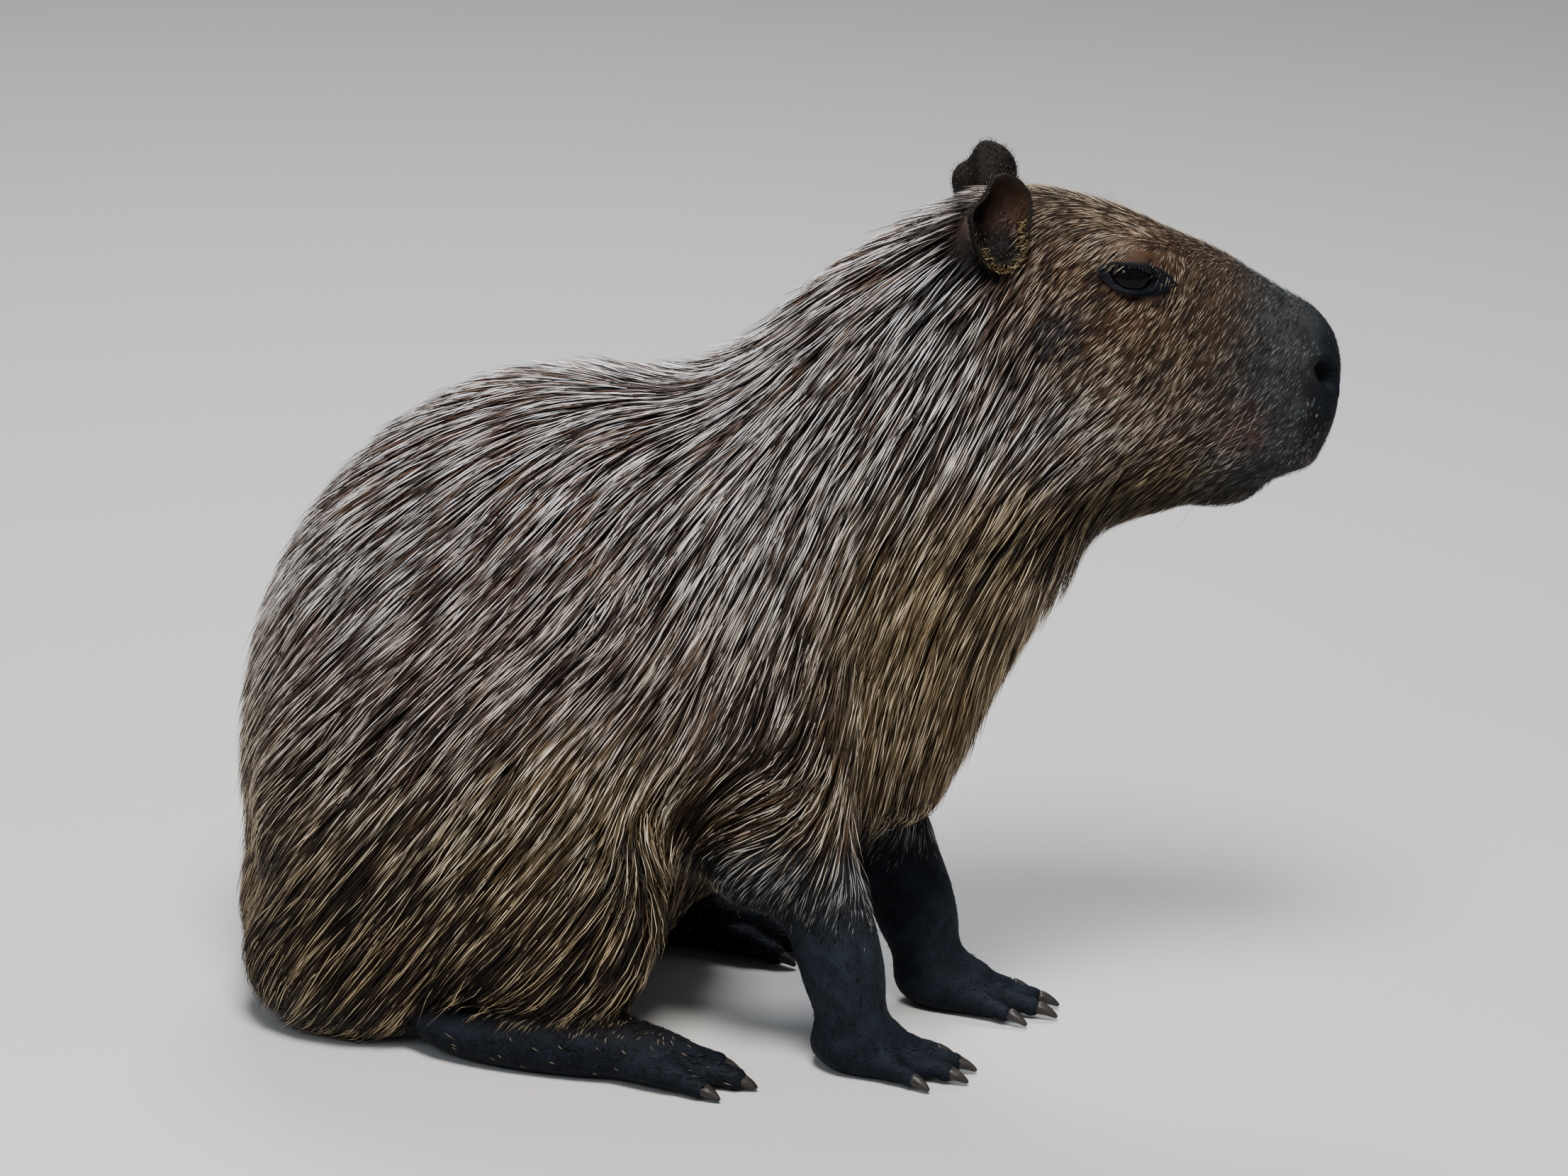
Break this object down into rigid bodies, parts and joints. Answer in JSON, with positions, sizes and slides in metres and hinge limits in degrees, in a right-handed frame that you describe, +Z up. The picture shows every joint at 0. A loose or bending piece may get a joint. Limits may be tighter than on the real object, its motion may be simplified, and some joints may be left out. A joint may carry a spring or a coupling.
{
  "type": "capybara",
  "caption": "Capybara sitting on its haunches with straight forelegs, head raised and turned a little to its left; coarse brown coat, dark bare feet, small dark ears.",
  "frame": {"origin": "on the floor, under the middle of the whole model's bounding box", "axes": "+Z up; +X is where the body faces; +Y is the animal's left"},
  "size_m": [0.693, 0.3134, 0.5825],
  "materials": {
    "coat": "coarse brown hair, dark at the root and straw-coloured at the tips",
    "foot_skin": "dark bluish-black skin with sparse short hair",
    "ear_skin": "thin black skin, brown and lightly haired in the cup",
    "eye": "wet, nearly black",
    "claw": "dull dark horn"
  },
  "bodies": {
    "root": {"head": "coat", "neck": "coat", "torso": "coat", "ear_l": "ear_skin", "eye_l": "eye", "foreleg_l": "coat", "hindleg_l": "coat", "forefoot_l": "foot_skin", "hindfoot_l": "foot_skin", "claw_fore_l_1": "claw", "claw_fore_l_2": "claw", "claw_fore_l_3": "claw", "claw_fore_l_4": "claw", "claw_hind_l_1": "claw", "claw_hind_l_2": "claw", "claw_hind_l_3": "claw", "ear_r": "ear_skin", "eye_r": "eye", "foreleg_r": "coat", "hindleg_r": "coat", "forefoot_r": "foot_skin", "hindfoot_r": "foot_skin", "claw_fore_r_1": "claw", "claw_fore_r_2": "claw", "claw_fore_r_3": "claw", "claw_fore_r_4": "claw", "claw_hind_r_1": "claw", "claw_hind_r_2": "claw", "claw_hind_r_3": "claw"}
  },
  "joints": []
}
